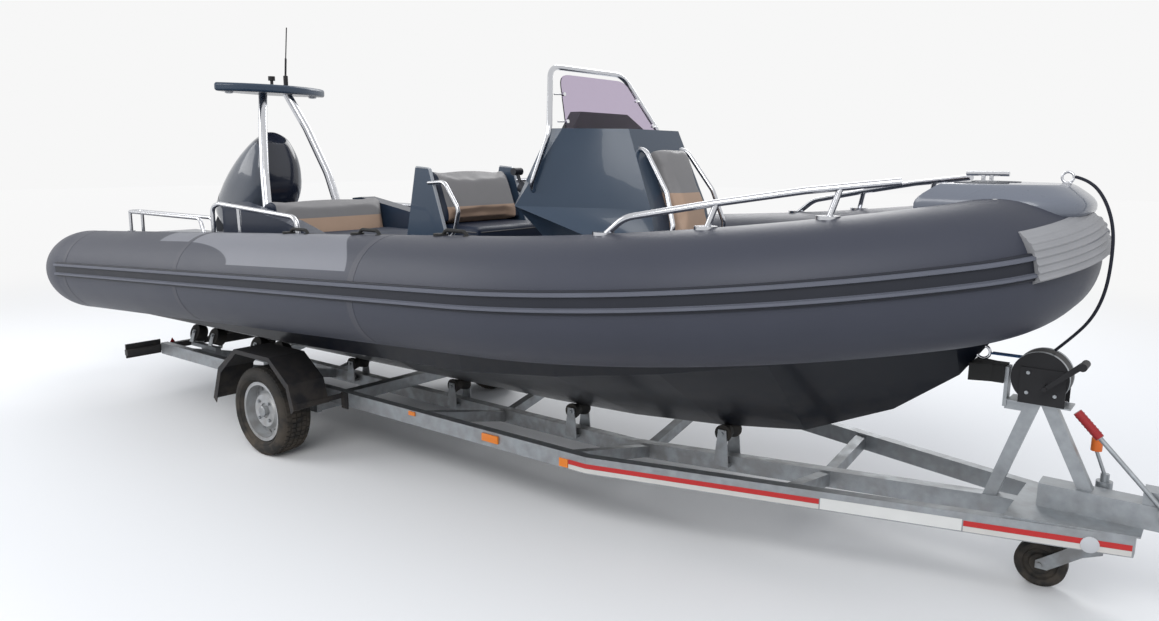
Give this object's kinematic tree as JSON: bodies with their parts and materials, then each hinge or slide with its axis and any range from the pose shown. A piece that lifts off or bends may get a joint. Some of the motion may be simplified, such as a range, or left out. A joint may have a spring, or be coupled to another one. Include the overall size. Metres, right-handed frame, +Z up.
{
  "type": "rigid inflatable boat on a braked road trailer",
  "caption": "Rigid inflatable boat with console, seats, stern arch and a tilted outboard engine, on a single axle roller trailer.",
  "frame": {"origin": "middle of the whole outfit on the ground", "axes": "+X forward to the bow and coupling, +Y to port, +Z up"},
  "size_m": [7.8567, 2.582, 2.6235],
  "materials": {
    "hull_navy": "gloss",
    "tube_grey": "matt",
    "strake_grey": "matt",
    "moulding_blue_grey": "satin",
    "deck_grey": "matt",
    "module_grey": "satin",
    "dash_black": "matt",
    "upholstery": "soft",
    "stainless": "polished",
    "galvanised": "spangled zinc",
    "screen_tint": "clear",
    "engine_grey": "gloss",
    "engine_leg": "satin",
    "black_plastic": "matt",
    "black_rubber": "matt",
    "tyre_rubber": "matt",
    "rim_silver": "satin",
    "rope_navy": "woven",
    "strap_blue": "woven",
    "lamp_red": "gloss"
  },
  "bodies": {
    "boat_and_trailer": {"hull": "hull_navy", "tube_starboard": "tube_grey", "tube_port": "tube_grey", "rubbing_strake": "strake_grey", "deck": "deck_grey", "transom": "moulding_blue_grey", "foredeck": "moulding_blue_grey", "bow_step": "module_grey", "bow_fittings": "stainless", "bow_rails": "stainless", "stern_rails": "stainless", "lift_handles": "black_rubber", "console_shell": "moulding_blue_grey", "dash_panel": "dash_black", "windscreen_frame": "stainless", "windscreen": "screen_tint", "console_seat": "upholstery", "helm_seat_pod": "moulding_blue_grey", "helm_seat_pads": "upholstery", "seat_rails": "stainless", "bench_pod": "moulding_blue_grey", "bench_back": "upholstery", "stern_decks": "module_grey", "arch_legs": "stainless", "arch_wing": "moulding_blue_grey", "arch_lights": "black_plastic", "engine_bracket": "engine_leg", "side_rails": "galvanised", "centre_spine": "galvanised", "cross_members": "galvanised", "drawbar": "galvanised", "coupling_head": "galvanised", "handbrake_lever": "galvanised", "axle": "galvanised", "mudguards": "black_plastic", "keel_rollers": "black_rubber", "roller_brackets": "galvanised", "side_rollers": "black_rubber", "side_cradles": "galvanised", "winch_post": "galvanised", "bow_snubber": "black_rubber", "winch": "black_plastic", "winch_strap": "strap_blue", "painter_rope": "rope_navy", "jockey_tube": "galvanised", "light_board": "lamp_red"},
    "wheel_starboard": {"tyre_starboard": "tyre_rubber", "rim_starboard": "rim_silver"},
    "wheel_port": {"tyre_port": "tyre_rubber", "rim_port": "rim_silver"},
    "jockey_caster": {"jockey_fork": "galvanised"},
    "jockey_roller": {"jockey_wheel": "black_rubber"},
    "engine_tilt_body": {"engine_swivel": "engine_leg"},
    "engine_power": {"engine_cowl": "engine_grey", "engine_leg": "engine_leg"},
    "propeller_body": {"propeller": "stainless"},
    "helm": {"helm_wheel": "dash_black"},
    "bench_seat": {"bench_lid": "moulding_blue_grey", "bench_cushion": "upholstery"},
    "bow_locker_lid": {"bow_lid": "deck_grey"}
  },
  "joints": [
    {"name": "wheel_starboard_spin", "type": "hinge", "parent": "boat_and_trailer", "child": "wheel_starboard", "pos_m": [-1.1315, -0.945, 0.2625], "axis": [0, 1, 0], "continuous": true},
    {"name": "wheel_port_spin", "type": "hinge", "parent": "boat_and_trailer", "child": "wheel_port", "pos_m": [-1.1315, 0.945, 0.2625], "axis": [0, 1, 0], "continuous": true},
    {"name": "jockey_swivel", "type": "hinge", "parent": "boat_and_trailer", "child": "jockey_caster", "pos_m": [2.9785, 0.095, 0.24], "axis": [0, 0, 1], "continuous": true},
    {"name": "jockey_spin", "type": "hinge", "parent": "jockey_caster", "child": "jockey_roller", "pos_m": [2.7885, 0.095, 0.1], "axis": [0, 1, 0], "continuous": true},
    {"name": "engine_tilt", "type": "hinge", "parent": "boat_and_trailer", "child": "engine_tilt_body", "pos_m": [-2.8315, 0, 1.05], "axis": [0, 1, 0], "range_deg": [-35, 15]},
    {"name": "engine_steer", "type": "hinge", "parent": "engine_tilt_body", "child": "engine_power", "pos_m": [-2.95524, 0, 1.17374], "axis": [0.7071, 0, 0.7071], "range_deg": [-30, 30]},
    {"name": "propeller_spin", "type": "hinge", "parent": "engine_power", "child": "propeller_body", "pos_m": [-3.82145, 0, 0.86615], "axis": [-0.7071, 0, 0.7071], "continuous": true},
    {"name": "helm_turn", "type": "hinge", "parent": "boat_and_trailer", "child": "helm", "pos_m": [0.33095, 0, 1.68275], "axis": [-0.8752, 0, 0.4837], "range_deg": [-540, 540]},
    {"name": "bench_lid_hinge", "type": "hinge", "parent": "boat_and_trailer", "child": "bench_seat", "pos_m": [-1.1855, 0, 1.109], "axis": [0, 1, 0], "range_deg": [0, 95]},
    {"name": "bow_lid_hinge", "type": "hinge", "parent": "boat_and_trailer", "child": "bow_locker_lid", "pos_m": [2.1515, 0, 1.196], "axis": [0, 1, 0], "range_deg": [0, 80]}
  ],
  "couplings": [
    {"joint": "helm_turn", "follows": "engine_steer", "ratio": -18}
  ]
}
